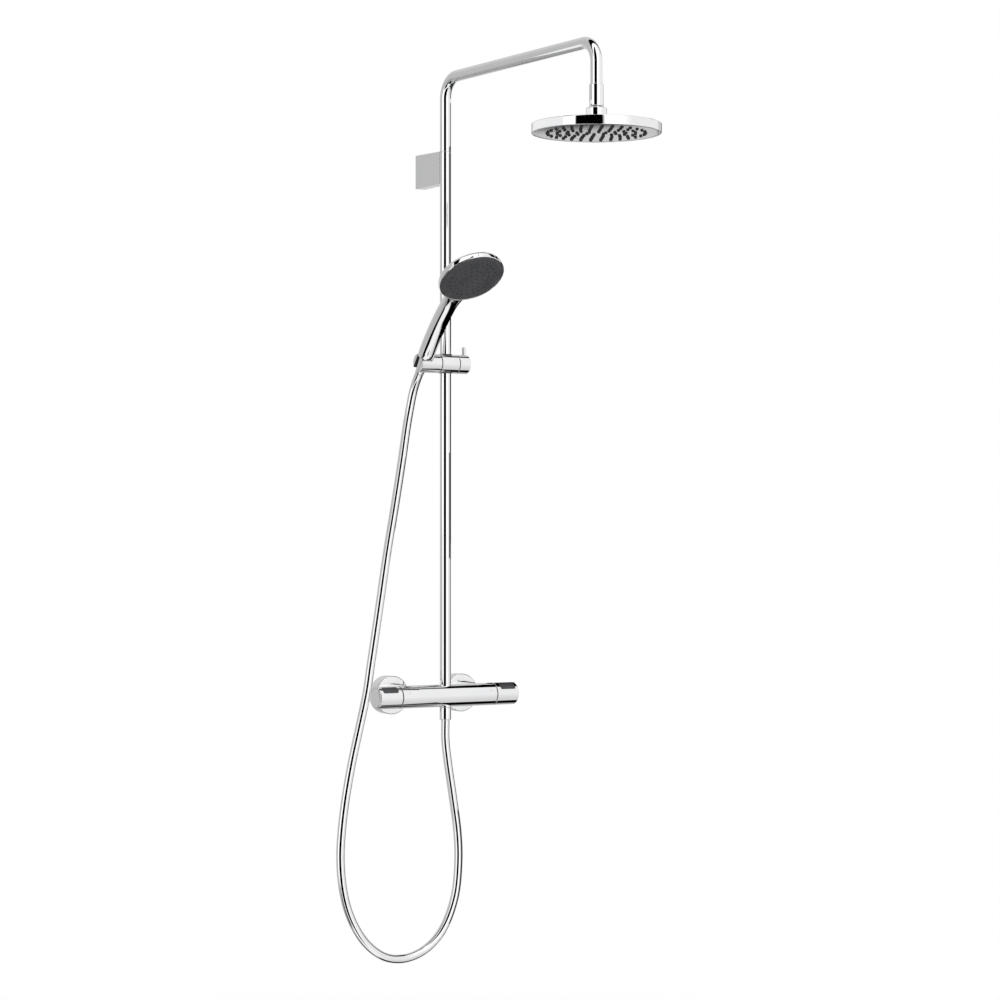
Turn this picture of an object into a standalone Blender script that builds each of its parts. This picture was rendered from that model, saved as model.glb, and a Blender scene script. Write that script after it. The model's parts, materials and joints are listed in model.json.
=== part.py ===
"""Rainfall shower column: thermostatic bar mixer, riser with overhead rain head, and a hand shower on a hose.

Metres, +Z up. The origin is the centre of the wall bracket's back face, the wall is the plane Y = 0, and
-Y points into the room. The riser stands on the line X = 0, Y = COLUMN_Y.
Sizes below are in millimetres, and mm() turns them into metres.
"""

import math

import bmesh
import bpy
from mathutils import Matrix, Vector

# Driving dimensions, in millimetres.
COLUMN_Y = -88.0          # riser axis, in front of the wall
MIXER_Z = -965.0          # mixer axis, below the wall bracket
ARM_Z = 163.0             # axis of the horizontal arm
ARM_REACH = 480.0         # riser axis to head axis
SLIDER_Z = -359.3         # slider axis at rest
INLET_HALF = 75.0         # half the distance between the wall inlets
TUBE_R = 10.25            # riser and arm, outside
TUBE_BORE_R = 9.05
BEND_R = 38.0             # centre-line radius of both arm bends
MIXER_R = 20.5
BODY_HALF = 100.2         # half the mixer body's length, without the handles
MIXER_HALF = 148.0        # half the mixer's length, with the handles
JOINT_Z = 28.0            # where the arm tube meets the riser
BRACKET_HALF_W = 10.5
BRACKET_HALF_H = 31.0
HEAD_R = 110.0
HEAD_Z = 5.0              # underside of the rain head
HEAD_RIM = 16.0           # height of its rim
PIVOT_Z = 35.0            # centre of the head's ball joint
SLIDER_R = 17.35
HOLDER_X = -48.0          # the holder's bore, left of the riser
CONE_TILT = math.radians(36.0)   # the bore leans this far from vertical into the room
HANDLE_R = 15.0
HANDSET_R = 60.0
HOSE_R = 7.75
GAP = 0.3                 # between pieces that touch

ROUND = 24                # sides of a large round piece
SMALL = 14                # sides of a small one
WIDE = 36                 # sides of the heads
CHROME = "chrome"
CHROMED = "chromed_plastic"
BRASS = "brass"
PLASTIC = "dark_plastic"
RUBBER = "seal_rubber"
STEEL = "steel"
WHITE = "white_plastic"

X_AXIS = Vector((1, 0, 0))
Y_AXIS = Vector((0, 1, 0))
Z_AXIS = Vector((0, 0, 1))

# The holder's bore runs up and into the room. CONE_FRONT is square to it, on the room side.
HOLDER_CENTRE = Vector((HOLDER_X, COLUMN_Y, SLIDER_Z))
CONE_UP = Vector((0, -math.sin(CONE_TILT), math.cos(CONE_TILT)))
CONE_FRONT = Vector((0, -math.cos(CONE_TILT), -math.sin(CONE_TILT)))


def mm(value):
    """Millimetres to metres, for a number or a point."""
    if isinstance(value, (int, float)):
        return value * 0.001
    return Vector(value) * 0.001


def on_cone(along, front=0.0, side=0.0):
    """The point this far up the holder's bore, in front of it and to its +X side."""
    return HOLDER_CENTRE + CONE_UP * along + CONE_FRONT * front + X_AXIS * side


# ---------------------------------------------------------------- scene and materials


def clear_scene():
    for obj in list(bpy.data.objects):
        bpy.data.objects.remove(obj)


def make_collection(name):
    collection = bpy.data.collections.new(name)
    bpy.context.scene.collection.children.link(collection)
    return collection


def make_material(name, colour, roughness, metallic):
    material = bpy.data.materials.new(name)
    material.use_nodes = True
    shader = material.node_tree.nodes["Principled BSDF"]
    shader.inputs["Base Color"].default_value = (*colour, 1.0)
    shader.inputs["Roughness"].default_value = roughness
    shader.inputs["Metallic"].default_value = metallic
    return material


clear_scene()
PARTS = make_collection("rainfall_shower_column")
CUTTERS = make_collection("cutters")
MATERIALS = {
    CHROME: make_material(CHROME, (0.90, 0.90, 0.91), 0.04, 1.0),
    CHROMED: make_material(CHROMED, (0.90, 0.90, 0.91), 0.05, 1.0),
    BRASS: make_material(BRASS, (0.78, 0.62, 0.34), 0.30, 1.0),
    PLASTIC: make_material(PLASTIC, (0.055, 0.057, 0.060), 0.45, 0.0),
    RUBBER: make_material(RUBBER, (0.020, 0.020, 0.021), 0.70, 0.0),
    STEEL: make_material(STEEL, (0.60, 0.60, 0.62), 0.28, 1.0),
    WHITE: make_material(WHITE, (0.72, 0.72, 0.70), 0.40, 0.0),
}


def add(name, data, material=None):
    """Puts a new object in the parts, or in the cutters where it has no material."""
    obj = bpy.data.objects.new(name, data)
    if material is None:
        obj.hide_render = True
        obj.display_type = "WIRE"
        CUTTERS.objects.link(obj)
    else:
        data.materials.append(MATERIALS[material])
        PARTS.objects.link(obj)
    return obj


def smooth(mesh):
    mesh.shade_smooth()
    mesh.set_sharp_from_angle(angle=math.radians(35))


# ---------------------------------------------------------------- shapes


def turned(name, profile, centre, direction, material=None, sides=SMALL, closed=False):
    """A profile of (radius, height) turned about direction. It runs down the outer side, top to bottom."""
    mesh = bpy.data.meshes.new(name)
    points = [(mm(radius), 0.0, mm(height)) for radius, height in profile]
    edges = [(i, i + 1) for i in range(len(points) - 1)]
    if closed:
        edges.append((len(points) - 1, 0))
    mesh.from_pydata(points, edges, [])
    obj = add(name, mesh, material)
    obj.location = mm(centre)
    obj.rotation_euler = Z_AXIS.rotation_difference(direction).to_euler()
    screw = obj.modifiers.new("turn", "SCREW")
    screw.steps = sides
    screw.render_steps = sides
    screw.use_merge_vertices = True
    screw.merge_threshold = 0.00001
    screw.use_smooth_shade = True
    return obj


def rod(name, radius, low, high, centre, direction, material=None, sides=SMALL, chamfer=0.0):
    """A solid round bar from low to high along direction."""
    if chamfer:
        profile = [(0, high), (radius - chamfer, high), (radius, high - chamfer)]
        profile += [(radius, low + chamfer), (radius - chamfer, low), (0, low)]
    else:
        profile = [(0, high), (radius, high), (radius, low), (0, low)]
    return turned(name, profile, centre, direction, material, sides)


def ring(name, outer, inner, low, high, centre, direction, material=None, sides=SMALL, chamfer=0.0):
    """A round sleeve from low to high along direction."""
    profile = [(outer - chamfer, high), (outer, high - chamfer)] if chamfer else [(outer, high)]
    profile += [(outer, low + chamfer), (outer - chamfer, low)] if chamfer else [(outer, low)]
    profile += [(inner, low), (inner, high)]
    return turned(name, profile, centre, direction, material, sides, closed=True)


def block(name, size, centre, material=None, bevel=0.0, turn=None):
    """A box of this size, with an optional rounded edge and rotation matrix."""
    mesh = bpy.data.meshes.new(name)
    shape = bmesh.new()
    bmesh.ops.create_cube(shape, size=1.0)
    bmesh.ops.scale(shape, vec=mm(size), verts=shape.verts)
    shape.to_mesh(mesh)
    shape.free()
    obj = add(name, mesh, material)
    obj.matrix_world = Matrix.Translation(mm(centre)) @ (turn or Matrix.Identity(4))
    if bevel:
        rounding = obj.modifiers.new("edges", "BEVEL")
        rounding.width = mm(bevel)
        rounding.segments = 2
    return obj


def pipe(name, points, radius, material, sides_level=4, radii=None):
    """A solid tube along points, as a curve. radii, where given, are shares of radius at each point."""
    curve = bpy.data.curves.new(name, "CURVE")
    curve.dimensions = "3D"
    curve.bevel_depth = mm(radius)
    curve.bevel_resolution = sides_level
    curve.use_fill_caps = True
    spline = curve.splines.new("POLY")
    spline.points.add(len(points) - 1)
    for i, point in enumerate(points):
        spline.points[i].co = (*mm(point), 1.0)
        spline.points[i].radius = radii[i] if radii else 1.0
    return add(name, curve, material)


def to_mesh(obj, material=None):
    """Replaces a curve by its mesh with welded caps, so that it can be cut or can cut."""
    bpy.context.view_layer.update()
    evaluated = obj.evaluated_get(bpy.context.evaluated_depsgraph_get())
    mesh = bpy.data.meshes.new_from_object(evaluated)
    mesh.materials.clear()
    shape = bmesh.new()
    shape.from_mesh(mesh)
    bmesh.ops.remove_doubles(shape, verts=shape.verts, dist=0.00002)
    bmesh.ops.recalc_face_normals(shape, faces=shape.faces)
    shape.to_mesh(mesh)
    shape.free()
    smooth(mesh)
    name = obj.name
    matrix = obj.matrix_world.copy()
    bpy.data.objects.remove(obj)
    made = add(name, mesh, material)
    made.matrix_world = matrix
    return made


def combine(obj, other, operation="DIFFERENCE", solver="EXACT"):
    """Adds a Boolean with a helper object. MANIFOLD is for a shape that EXACT leaves open."""
    boolean = obj.modifiers.new(f"{operation.lower()}_{other.name}", "BOOLEAN")
    boolean.operation = operation
    boolean.solver = solver
    boolean.object = other


def cut(obj, *others, solver="EXACT"):
    for other in others:
        combine(obj, other, "DIFFERENCE", solver)


def arc(centre, start, end, radius, steps):
    """Points on a circle round centre, from direction start to direction end, a quarter turn apart."""
    points = []
    for i in range(steps + 1):
        angle = math.pi / 2 * i / steps
        points.append(centre + radius * (start * math.cos(angle) + end * math.sin(angle)))
    return points


def smooth_route(points, per_span):
    """A Catmull-Rom curve through the points."""
    ends = [2 * points[0] - points[1], *points, 2 * points[-1] - points[-2]]
    route = []
    for i in range(len(points) - 1):
        a, b, c, d = ends[i : i + 4]
        for step in range(per_span):
            t = step / per_span
            route.append(
                0.5
                * (2 * b + (c - a) * t + (2 * a - 5 * b + 4 * c - d) * t**2 + (3 * b - a - 3 * c + d) * t**3)
            )
    return [*route, points[-1]]


# ---------------------------------------------------------------- wall bracket

PLATE_THICK = 4.0
PLATE_SCREW_Z = 19.0
CORE_FRONT_Y = COLUMN_Y + TUBE_R + GAP


def build_wall_bracket():
    plate = block("wall_plate", (17.0, PLATE_THICK, 56.0), (0, -PLATE_THICK / 2, 0), STEEL)
    for side, sign in (("upper", 1), ("lower", -1)):
        hole = rod(f"hole_wall_{side}", 2.6, -1, 6, (0, 0, sign * PLATE_SCREW_Z), -Y_AXIS, sides=12)
        cut(plate, hole)

    # The cover is an open-backed box whose top and bottom draw in a little towards the riser.
    depth = 84.0
    cover = block("wall_bracket_cover", (21.0, depth, 62.0), (0, -depth / 2, 0), CHROME)
    for vertex in cover.data.vertices:
        if vertex.co.y < 0:
            vertex.co.z *= 0.95
    inside = block("cover_inside", (17.6, depth, 57.0), (0, -depth / 2 + 13, 0))
    groove = rod("cover_groove", TUBE_R + GAP, -60, 60, (0, COLUMN_Y, 0), Z_AXIS, sides=ROUND)
    grub_hole = rod("cover_grub_hole", 2.4, -40, -20, (0, -60, 0), Z_AXIS, sides=12)
    cut(cover, inside, groove, grub_hole)

    # The core is the bar inside the cover that carries the riser.
    core_back = -PLATE_THICK - GAP
    core_front = -depth + 13 + GAP
    core = block(
        "bracket_core",
        (12.0, core_back - core_front, 36.0),
        (0, (core_back + core_front) / 2, 0),
        STEEL,
    )
    core_grub_hole = rod("core_grub_hole", 2.4, -40, -8, (0, -60, 0), Z_AXIS, sides=12)
    cut(core, core_grub_hole)
    rod("cover_grub_screw", 2.0, -30.0, -12.0, (0, -60, 0), Z_AXIS, STEEL, sides=12, chamfer=0.4)


# ---------------------------------------------------------------- riser and arm

SPIGOT_R = 8.75
SPIGOT_GROOVES = (-6.0, 62.0)
RISER_FOOT_Z = MIXER_Z + 20.9


def build_riser_and_arm():
    column = Vector((0, COLUMN_Y, 0))
    ring("riser_tube", TUBE_R, TUBE_BORE_R, RISER_FOOT_Z, JOINT_Z - 0.2, column, Z_AXIS, CHROME, ROUND, 0.3)

    first = Vector((0, COLUMN_Y - BEND_R, ARM_Z - BEND_R))
    second = Vector((0, COLUMN_Y - ARM_REACH + BEND_R, ARM_Z - BEND_R))
    bends = arc(first, Y_AXIS, Z_AXIS, BEND_R, 8) + arc(second, Z_AXIS, -Y_AXIS, BEND_R, 8)
    head_axis_y = COLUMN_Y - ARM_REACH
    route = [Vector((0, COLUMN_Y, JOINT_Z + 0.2)), *bends, Vector((0, head_axis_y, 66.0))]
    arm = to_mesh(pipe("arm_tube", route, TUBE_R, CHROME, 6), CHROME)
    longer = [route[0] - Z_AXIS * 5, *route[1:-1], route[-1] - Z_AXIS * 5]
    cut(arm, to_mesh(pipe("arm_bore", longer, TUBE_BORE_R, CHROME, 6)))

    # The spigot joins the two tubes behind the bracket, with an O-ring in a groove at each end.
    low, high, bore = -16.0, 72.0, 6.8
    profile = [(SPIGOT_R - 0.8, high), (SPIGOT_R, high - 1.5)]
    for centre in reversed(SPIGOT_GROOVES):
        profile += [(SPIGOT_R, centre + 1.2), (7.5, centre + 1.2), (7.5, centre - 1.2), (SPIGOT_R, centre - 1.2)]
    profile += [(SPIGOT_R, low + 1.5), (SPIGOT_R - 0.8, low), (bore, low), (bore, high)]
    turned("joint_spigot", profile, column, Z_AXIS, BRASS, SMALL, closed=True)
    for place, centre in zip(("lower", "upper"), SPIGOT_GROOVES):
        ring(f"spigot_o_ring_{place}", 8.8, 7.7, centre - 0.8, centre + 0.8, column, Z_AXIS, RUBBER, SMALL)

    ring("riser_nipple", 8.6, 6.6, MIXER_Z + 10, MIXER_Z + 46, column, Z_AXIS, BRASS, SMALL, 0.5)


# ---------------------------------------------------------------- rain head

HEAD_AXIS = Vector((0, COLUMN_Y - ARM_REACH, 0))
BALL_R = 12.4


def sphere_arc(radius, first_height, last_height, steps):
    """(radius, height) points on a sphere round the pivot, between two heights above it."""
    points = []
    for i in range(steps + 1):
        height = first_height + (last_height - first_height) * i / steps
        points.append((math.sqrt(radius**2 - height**2), PIVOT_Z + height))
    return points


def build_rain_head():
    # Collar sleeve and ball, fixed on the end of the arm.
    collar = [(11.9, 88.0), (12.35, 87.4), (12.35, 53.7), (11.4, 51.6), (10.7, 51.6), (10.7, 88.0)]
    turned("arm_end_collar", collar, HEAD_AXIS, Z_AXIS, CHROME, ROUND, closed=True)
    neck_r = 6.4
    neck_height = math.sqrt(BALL_R**2 - neck_r**2)
    ball = [(10.3, 65.6), (10.3, 53.0), (neck_r, 51.6)]
    ball += sphere_arc(BALL_R, neck_height, -10.6, 9)
    ball += [(4.2, PIVOT_Z - 10.6), (4.2, 65.6)]
    turned("ball_stud", ball, HEAD_AXIS, Z_AXIS, BRASS, ROUND, closed=True)

    # The seat ring takes the tilt one way and the head the other way, both round the ball's centre.
    seat = sphere_arc(13.7, -3.2, -9.2, 4) + sphere_arc(BALL_R + 0.2, -9.2, -3.2, 4)
    turned("ball_seat_ring", seat, HEAD_AXIS, Z_AXIS, WHITE, ROUND, closed=True)

    nut_low, nut_high, lip_r = 24.6, 48.2, 9.6
    lip_height = math.sqrt(12.7**2 - lip_r**2)
    nut = [(16.9, nut_high), (17.75, nut_high - 0.8), (17.75, nut_low), (16.1, nut_low), (16.1, 37.6)]
    nut += sphere_arc(12.7, 2.6, lip_height, 3) + [(lip_r, nut_high)]
    turned("ball_socket_nut", nut, HEAD_AXIS, Z_AXIS, CHROME, ROUND, closed=True)

    top = HEAD_Z + HEAD_RIM
    wall, skin = 1.6, 1.5
    cover = [(15.8, 37.2), (15.8, 24.2), (30.0, 24.0), (70.0, 23.0), (100.0, 21.6), (108.8, top)]
    cover += [(HEAD_R, top - 1.0), (HEAD_R, HEAD_Z + 0.4), (HEAD_R - 0.4, HEAD_Z), (HEAD_R - wall, HEAD_Z)]
    cover += [(HEAD_R - wall, top - skin - 0.6), (100.0, 21.6 - skin), (70.0, 23.0 - skin), (30.0, 22.2)]
    cover += [(7.5, 22.2), (7.5, PIVOT_Z - 11.8)]
    cover += sphere_arc(14.0, -11.7, -0.2, 5) + [(14.0, 37.2)]
    turned("rain_head_cover", cover, HEAD_AXIS, Z_AXIS, CHROME, WIDE, closed=True)

    face_r = HEAD_R - wall - GAP
    rod("rain_head_face", face_r, HEAD_Z + 0.3, HEAD_Z + 2.3, HEAD_AXIS, Z_AXIS, STEEL, WIDE)
    rod("rain_head_nozzle_mat", face_r - 2, HEAD_Z + 2.7, HEAD_Z + 5.2, HEAD_AXIS, Z_AXIS, RUBBER, WIDE)
    ring("rain_head_spreader", 96.0, 12.0, HEAD_Z + 5.7, HEAD_Z + 7.5, HEAD_AXIS, Z_AXIS, WHITE, WIDE)


# ---------------------------------------------------------------- mixer

MIXER = Vector((0, COLUMN_Y, MIXER_Z))
LEG_END = 33.0            # how far behind the mixer axis the inlet legs reach
NUT_BACK = 61.5
ROSE_FRONT = 62.0
ROSE_R = 35.0
WALL = -COLUMN_Y          # how far behind the mixer axis the wall is
CARTRIDGE_R = 15.6
SPINDLE_R = 4.0
BODY_BORE_R = 16.0


def build_mixer_body():
    body = rod("mixer_body", MIXER_R, -BODY_HALF, BODY_HALF, MIXER, X_AXIS, CHROME, ROUND, 0.4)
    for side, sign in (("left", -1), ("right", 1)):
        inlet = MIXER + X_AXIS * sign * INLET_HALF
        combine(body, rod(f"leg_{side}", 12.6, 14, LEG_END, inlet, Y_AXIS, sides=SMALL), "UNION", "MANIFOLD")
    outlet = rod("outlet_boss", 10.9, -21.0, -12.0, MIXER, Z_AXIS, sides=SMALL)
    combine(body, outlet, "UNION", "MANIFOLD")
    for side, sign in (("left", -1), ("right", 1)):
        inlet = MIXER + X_AXIS * sign * INLET_HALF
        near, far = sorted((sign * 40.0, sign * (BODY_HALF + 5)))
        cut(
            body,
            rod(f"cartridge_bore_{side}", BODY_BORE_R, near, far, MIXER, X_AXIS, sides=ROUND),
            rod(f"leg_bore_{side}", 9.0, 8, LEG_END + 5, inlet, Y_AXIS, sides=SMALL),
            solver="MANIFOLD",
        )
    cut(
        body,
        rod("mixed_water_bore", 7.0, -60, 60, MIXER, X_AXIS, sides=SMALL),
        rod("riser_bore", 9.1, 2, 30, MIXER, Z_AXIS, sides=SMALL),
        rod("outlet_bore", 7.8, -30, 3, MIXER, Z_AXIS, sides=SMALL),
        solver="MANIFOLD",
    )


def build_inlets():
    for side, sign in (("left", -1), ("right", 1)):
        inlet = MIXER + X_AXIS * sign * INLET_HALF
        rod(f"check_valve_{side}", 8.6, 18.0, LEG_END - 1, inlet, Y_AXIS, WHITE, SMALL, 0.8)
        ring(f"inlet_washer_{side}", 12.4, 8.0, LEG_END + GAP, LEG_END + 2.3, inlet, Y_AXIS, RUBBER)
        union = [(10.2, WALL), (10.2, 39.5), (12.8, 39.5), (12.8, 35.6), (8.0, 35.6), (8.0, WALL)]
        turned(f"wall_union_{side}", union, inlet, Y_AXIS, BRASS, SMALL, closed=True)
        nut = [(18.9, NUT_BACK), (19.5, NUT_BACK - 0.6), (19.5, 21.6), (18.9, 21.0), (13.2, 21.0)]
        nut += [(13.2, 39.9), (10.6, 39.9), (10.6, NUT_BACK)]
        turned(f"union_nut_{side}", nut, inlet, Y_AXIS, CHROME, ROUND, closed=True)
        back = WALL - GAP
        rose = [(ROSE_R, back), (ROSE_R, ROSE_FRONT + 1.0), (ROSE_R - 1.0, ROSE_FRONT), (10.6, ROSE_FRONT)]
        rose += [(10.6, ROSE_FRONT + 1.4), (ROSE_R - 1.6, ROSE_FRONT + 1.4), (ROSE_R - 1.6, back)]
        turned(f"wall_rose_{side}", rose, inlet, Y_AXIS, CHROME, 28, closed=True)


BUTTON_TILT = math.radians(47.0)       # how far above the front the buttons sit
BUTTON_OUT = Vector((0, -math.cos(BUTTON_TILT), math.sin(BUTTON_TILT)))
BUTTON_LONG = 33.0
BUTTON_WIDE = 14.8
BUTTON_X = 125.5


def button_shape(name, clearance, depth_low, depth_high, sign):
    """The button's outline, with cut corners, run through the handle's wall."""
    half, wide, corner = BUTTON_LONG / 2 + clearance, BUTTON_WIDE / 2 + clearance, 2.6
    outline = [(-half, -wide + corner), (-half, wide - corner), (-half + corner, wide)]
    outline += [(half - corner, wide), (half, wide - corner), (half, -wide + corner)]
    outline += [(half - corner, -wide), (-half + corner, -wide)]
    across = X_AXIS.cross(BUTTON_OUT)
    mesh = bpy.data.meshes.new(name)
    shape = bmesh.new()
    centre = MIXER + X_AXIS * sign * BUTTON_X
    corners = [
        shape.verts.new(mm(centre + X_AXIS * x + across * y + BUTTON_OUT * depth_low)) for x, y in outline
    ]
    face = shape.faces.new(corners)
    raised = bmesh.ops.extrude_face_region(shape, geom=[face])["geom"]
    tops = [item for item in raised if isinstance(item, bmesh.types.BMVert)]
    bmesh.ops.translate(shape, vec=mm(BUTTON_OUT * (depth_high - depth_low)), verts=tops)
    bmesh.ops.recalc_face_normals(shape, faces=shape.faces)
    shape.to_mesh(mesh)
    shape.free()
    return add(name, mesh)


def build_handle(name, sign):
    """One end of the mixer: cartridge, stop ring, handle, screw, cap and push button."""
    out = X_AXIS * sign
    cartridge = [(0, 137.0), (SPINDLE_R, 137.0), (SPINDLE_R, 106.0), (CARTRIDGE_R, 106.0)]
    cartridge += [(CARTRIDGE_R, 44.0), (0, 44.0)]
    turned(f"{name}_cartridge", cartridge, MIXER, out, BRASS, SMALL)
    ring(f"{name}_stop_ring", 20.0, 16.2, BODY_HALF + GAP, BODY_HALF + 1.5, MIXER, out, PLASTIC, ROUND)

    inner, end = BODY_HALF + 1.8, MIXER_HALF - 0.6
    handle = [(MIXER_R - 0.7, end), (MIXER_R, end - 0.7), (MIXER_R, inner + 0.3), (MIXER_R - 0.3, inner)]
    handle += [(17.4, inner), (17.4, 142.0), (8.5, 142.0), (8.5, 112.0), (SPINDLE_R + GAP, 112.0)]
    handle += [(SPINDLE_R + GAP, 137.6), (2.2, 137.6), (2.2, 143.0), (18.3, 143.0), (18.3, end)]
    shell = turned(f"{name}_handle", handle, MIXER, out, CHROME, ROUND, closed=True)
    cut(shell, button_shape(f"{name}_button_slot", 0.35, 12.0, 30.0, sign))

    button = ring(f"{name}_button", 21.3, 18.1, 104.0, 144.0, MIXER, out, PLASTIC, WIDE)
    combine(button, button_shape(f"{name}_button_outline", 0.0, 8.0, 30.0, sign), "INTERSECT")

    screw = [(0, 145.2), (4.5, 145.2), (4.5, 143.3), (1.9, 143.3), (1.9, 137.3), (0, 137.3)]
    turned(f"{name}_handle_screw", screw, MIXER, out, STEEL, 12)
    cap = [(0, MIXER_HALF), (17.6, MIXER_HALF), (18.0, MIXER_HALF - 0.4), (18.0, 145.6), (0, 145.6)]
    turned(f"{name}_cap", cap, MIXER, out, CHROME, ROUND)


# ---------------------------------------------------------------- slider and holder

SLIDER = Vector((0, COLUMN_Y, SLIDER_Z))
KNOB_PIN_X = 39.0


def build_slider():
    body = rod("slider_body", SLIDER_R, -15.4, 21.2, SLIDER, X_AXIS, CHROME, ROUND, 0.4)
    cut(
        body,
        rod("slider_column_hole", 12.9, -30, 30, SLIDER, Z_AXIS, sides=ROUND),
        rod("slider_bolt_hole", 4.3, -20, -8, SLIDER, X_AXIS, sides=12),
        rod("slider_clamp_hole", 3.4, 8, 25, SLIDER, X_AXIS, sides=12),
    )
    ring("slider_bush", 12.6, TUBE_R + 0.2, -19.0, 19.0, SLIDER, Z_AXIS, WHITE, ROUND)
    ring("knob_washer", 15.4, 3.5, 21.5, 22.3, SLIDER, X_AXIS, PLASTIC, SMALL)

    knob = rod("clamp_knob", SLIDER_R, 22.6, 44.1, SLIDER, X_AXIS, CHROME, ROUND, 0.5)
    cut(
        knob,
        rod("knob_screw_bore", 3.4, 20, 37, SLIDER, X_AXIS, sides=12),
        rod("knob_lever_bore", 2.6, 8, 25, SLIDER + X_AXIS * KNOB_PIN_X, Z_AXIS, sides=12),
    )
    rod("clamp_screw", 3.0, 13.0, 36.6, SLIDER, X_AXIS, STEEL, 12, 0.4)
    lever = [(0, 31.6), (2.6, 31.6), (3.2, 31.0), (3.2, 17.7), (2.3, 17.7), (2.3, 8.4), (0, 8.4)]
    turned("clamp_lever", lever, SLIDER + X_AXIS * KNOB_PIN_X, Z_AXIS, CHROME, 16)


NUT_TOP_R = 9.8
NUT_LOW_R = 8.4
NUT_TOP = 11.7            # along the holder's bore
NUT_LOW = -21.0
SEAT = 12.0               # the face in the holder that the handset rests on
SLOT_WIDE = 16.6


def nut_radius(along):
    return NUT_LOW_R + (NUT_TOP_R - NUT_LOW_R) * (along - NUT_LOW) / (NUT_TOP - NUT_LOW)


def build_holder():
    holder = rod("handset_holder", SLIDER_R, -58.8, -17.0, SLIDER, X_AXIS, CHROME, ROUND, 0.5)
    clear = 0.5
    bore = [(0, 32), (nut_radius(32) + clear, 32), (nut_radius(-32) + clear, -32), (0, -32)]
    turn = Matrix((X_AXIS, -CONE_FRONT, CONE_UP)).transposed().to_4x4()
    slot_centre = on_cone(0, 0, -12.0)
    cut(
        holder,
        turned("holder_bore", bore, HOLDER_CENTRE, CONE_UP, sides=24),
        rod("holder_seat", HANDLE_R + 0.7, SEAT, 40, HOLDER_CENTRE, CONE_UP, sides=ROUND),
        block("holder_slot", (24.0, SLOT_WIDE, 80.0), slot_centre, turn=turn),
        rod("holder_bolt_hole", 4.3, -30, -15, SLIDER, X_AXIS, sides=12),
    )
    ring("holder_washer", 15.4, 4.5, -16.7, -15.7, SLIDER, X_AXIS, PLASTIC, SMALL)
    rod("holder_bolt", 4.0, -29.7, -13.2, SLIDER, X_AXIS, STEEL, 12, 0.4)


# ---------------------------------------------------------------- handset

HANDLE_END = 12.3         # along the bore: the handle's lower end
FACE_NORMAL = Vector((0, -0.583, -0.812)).normalized()
FACE_CENTRE = HOLDER_CENTRE + Vector((0, -165.4, 140.8))


def handle_line():
    """The handle's centre line: straight in the holder, then a steady bend, which sinks into the head."""
    place = on_cone(HANDLE_END)
    points = [place.copy()]
    place += CONE_UP * 12.7
    points.append(place.copy())
    turn, length, steps = math.radians(18.3), 160.0, 12
    for i in range(steps):
        angle = CONE_TILT + turn * (i + 0.5) / steps
        place += Vector((0, -math.sin(angle), math.cos(angle))) * (length / steps)
        sink = max(0, i - steps + 4) ** 2 * 0.5
        points.append(place + FACE_NORMAL * sink)
    return points


def build_handset():
    line = handle_line()
    shares = [0.93, 0.985, *[1.0] * (len(line) - 5), 0.94, 0.84, 0.66]
    handle = to_mesh(pipe("handle_body", line, HANDLE_R, CHROMED, 4, shares))
    back = -FACE_NORMAL
    head = [(0, 21.5), (20, 21.0), (40, 18.8), (53, 15.5), (58, 12.5), (HANDSET_R, 9.0), (HANDSET_R, 1.5)]
    head += [(HANDSET_R - 0.9, 0.0), (0, 0)]
    shell = turned("handset_shell", head, FACE_CENTRE, back, CHROMED, WIDE)
    combine(shell, handle, "UNION", "MANIFOLD")
    into_head = FACE_CENTRE - FACE_NORMAL * 9.0
    channel_start = on_cone(26.0)
    channel = to_mesh(pipe("handle_channel", [channel_start, *line[3:-3], into_head], 6.3, CHROMED, 2))
    cut(
        shell,
        rod("face_recess", HANDSET_R - 1.5, -5, 3.0, FACE_CENTRE, back, sides=WIDE),
        rod("head_hollow", 52.0, 2.0, 14.0, FACE_CENTRE, back, sides=ROUND),
        rod("handle_thread_bore", 8.2, 0, 32, HOLDER_CENTRE, CONE_UP, sides=SMALL),
        channel,
        solver="MANIFOLD",
    )
    rod("handset_face", HANDSET_R - 1.8, -0.4, 2.6, FACE_CENTRE, back, PLASTIC, WIDE, 0.4)
    rod("handset_nozzle_mat", 51.0, 3.3, 5.3, FACE_CENTRE, back, RUBBER, ROUND)
    ring("handset_spreader", 50.0, 7.0, 5.8, 7.6, FACE_CENTRE, back, WHITE, ROUND)
    ring("handset_connector", 7.6, 5.6, -1.9, 28.0, HOLDER_CENTRE, CONE_UP, BRASS, SMALL)


# ---------------------------------------------------------------- hose

HOSE_END = -21.3          # along the bore: where the hose leaves its cone nut
HOSE_ROUTE = [
    (0, -88, -1009.5),
    (0, -88, -1045),
    (5, -88, -1085),
    (16, -88, -1150),
    (26, -88, -1215),
    (28, -88, -1270),
    (21, -88, -1330),
    (0, -88, -1382),
    (-28, -88, -1414),
    (-62, -88, -1432),
    (-99, -88, -1437),
    (-136, -88, -1427),
    (-172, -88, -1398),
    (-199, -88, -1355),
    (-214, -88, -1308),
    (-220, -88, -1255),
    (-218, -88, -1205),
    (-210, -88, -1145),
    (-197, -88, -1080),
    (-181, -87, -1018),
    (-165, -85, -958),
    (-155, -82, -910),
    (-142, -79, -845),
    (-128, -75, -776),
    (-113, -70, -704),
    (-94, -63, -626),
    (-75, -57, -541),
    (-62, -52, -480),
    (-54, -50, -445),
    (-49.5, -54, -414),
    (-48.3, -62.5, -394.5),
]


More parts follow.
